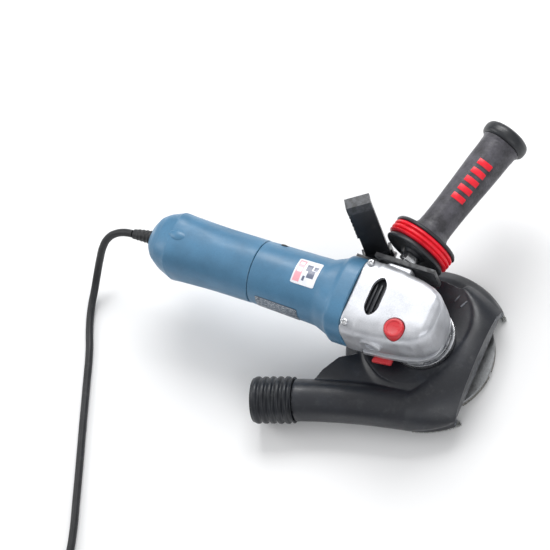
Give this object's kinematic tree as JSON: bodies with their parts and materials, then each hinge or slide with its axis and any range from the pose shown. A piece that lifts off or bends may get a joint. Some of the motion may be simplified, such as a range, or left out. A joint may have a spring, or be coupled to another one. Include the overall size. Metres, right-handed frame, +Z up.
{
  "type": "concrete grinder",
  "caption": "Hand-held concrete grinder: blue barrel motor housing, cast gear head, cup wheel under a dust extraction hood with a swivel hose cuff, side handle, power cord.",
  "frame": {"origin": "middle of the tool's bounding box (cord, coil and plug left out), on the floor it stands on", "axes": "+X from the tail towards the gear head, +Y towards the side handle, +Z up, along the spindle"},
  "size_m": [0.4064, 0.6208, 0.1513],
  "materials": {
    "blue_shell": "moulded glass-filled nylon, fine texture",
    "cast_alloy": "die-cast, fine shot-blasted",
    "bright_steel": "machined",
    "wheel_steel": "painted, worn",
    "diamond": "sintered grit",
    "laminated_steel": "varnished laminations",
    "copper": "enamelled wire",
    "brass": "stamped",
    "carbon": "pressed carbon",
    "black_plastic": "satin",
    "fan_plastic": "satin",
    "red_plastic": "satin",
    "red_rubber": "smooth elastomer",
    "grip_rubber": "soft-touch",
    "bracket_steel": "black powder coat",
    "hood_plastic": "satin moulded",
    "bristle": "dense nylon bristle",
    "cuff_rubber": "moulded ribs",
    "cord_rubber": "matte rubber",
    "label": "printed film, no lettering",
    "plate": "printed film, no lettering"
  },
  "bodies": {
    "housing": {"motor_housing": "blue_shell", "rear_cover": "blue_shell", "stator_core": "laminated_steel", "field_coil_upper": "copper", "field_coil_lower": "copper", "air_baffle": "black_plastic", "front_bearing": "bright_steel", "rear_bearing": "bright_steel", "rear_bearing_bracket": "black_plastic", "brush_holder_left": "brass", "brush_holder_right": "brass", "carbon_brush_left": "carbon", "carbon_brush_right": "carbon", "switch_module": "black_plastic", "cord_sleeve": "cord_rubber", "type_label": "label", "rating_plate": "plate", "gear_housing": "cast_alloy", "bearing_flange": "cast_alloy", "outlet_baffle": "black_plastic", "gear_housing_screw_left": "bright_steel", "gear_housing_screw_right": "bright_steel", "flange_screw_left": "bright_steel", "flange_screw_right": "bright_steel", "needle_bearing": "bright_steel", "spindle_bearing": "bright_steel", "lock_spring": "bright_steel", "handle_bracket": "bracket_steel", "handle_stud": "bright_steel", "handle_inner_disc": "black_plastic", "damping_ring": "red_rubber", "handle_outer_disc": "black_plastic", "handle_grip": "grip_rubber", "handle_end_cap": "black_plastic", "cord": "cord_rubber", "cord_coil": "cord_rubber", "plug_body": "cord_rubber", "plug_pin_left": "bright_steel", "plug_pin_right": "bright_steel"},
    "armature": {"armature_shaft": "bright_steel", "armature_core": "laminated_steel", "armature_winding": "copper", "commutator": "copper", "cooling_fan": "fan_plastic", "drive_pinion": "bright_steel"},
    "spindle": {"spindle_shaft": "bright_steel", "bevel_gear": "bright_steel", "mounting_flange": "bright_steel", "cup_wheel": "wheel_steel", "diamond_segments": "diamond", "clamp_nut": "bright_steel"},
    "lock_button": {"lock_button": "red_plastic"},
    "switch_slider": {"power_switch_slider": "black_plastic"},
    "release_lever": {"hood_release_lever": "red_plastic"},
    "clamp_lever": {"clamp_lever": "black_plastic"},
    "hood": {"hood_body": "hood_plastic", "brush_ring": "bristle", "clamp_band": "bright_steel", "clamp_band_screw": "bright_steel"},
    "hose_cuff": {"hose_cuff": "cuff_rubber"}
  },
  "joints": [
    {"name": "spindle_spin", "type": "hinge", "parent": "housing", "child": "spindle", "pos_m": [0.11789, -0.04067, 0.06], "axis": [0, 0, 1], "continuous": true},
    {"name": "armature_spin", "type": "hinge", "parent": "housing", "child": "armature", "pos_m": [0.01789, -0.04067, 0.081], "axis": [1, 0, 0], "continuous": true},
    {"name": "spindle_lock_press", "type": "slide", "parent": "housing", "child": "lock_button", "axis": [0, 0, -1], "range_m": [0, 0.0045], "stiffness_N_per_m": 600, "springref_m": -0.003, "deforming": ["lock_spring"]},
    {"name": "power_switch_slide", "type": "slide", "parent": "housing", "child": "switch_slider", "axis": [1, 0, 0], "range_m": [0, 0.007]},
    {"name": "hood_release_press", "type": "hinge", "parent": "housing", "child": "release_lever", "pos_m": [0.09689, -0.07067, 0.053], "axis": [0, 0, 1], "range_deg": [0, 12], "stiffness_Nm_per_rad": 0.05, "springref_deg": -5.73},
    {"name": "clamp_lever_open", "type": "hinge", "parent": "housing", "child": "clamp_lever", "pos_m": [0.05339, 0.01613, 0.0712], "axis": [-0.8213, -0.5705, 0], "range_deg": [0, 55]},
    {"name": "hood_swivel", "type": "hinge", "parent": "housing", "child": "hood", "pos_m": [0.11789, -0.04067, 0.045], "axis": [0, 0, 1], "range_deg": [-12, 75]},
    {"name": "hose_cuff_swivel", "type": "hinge", "parent": "hood", "child": "hose_cuff", "pos_m": [0.02189, -0.13167, 0.0245], "axis": [-0.945, -0.3271, 0], "continuous": true}
  ],
  "couplings": [
    {"joint": "armature_spin", "follows": "spindle_spin", "ratio": -3}
  ]
}
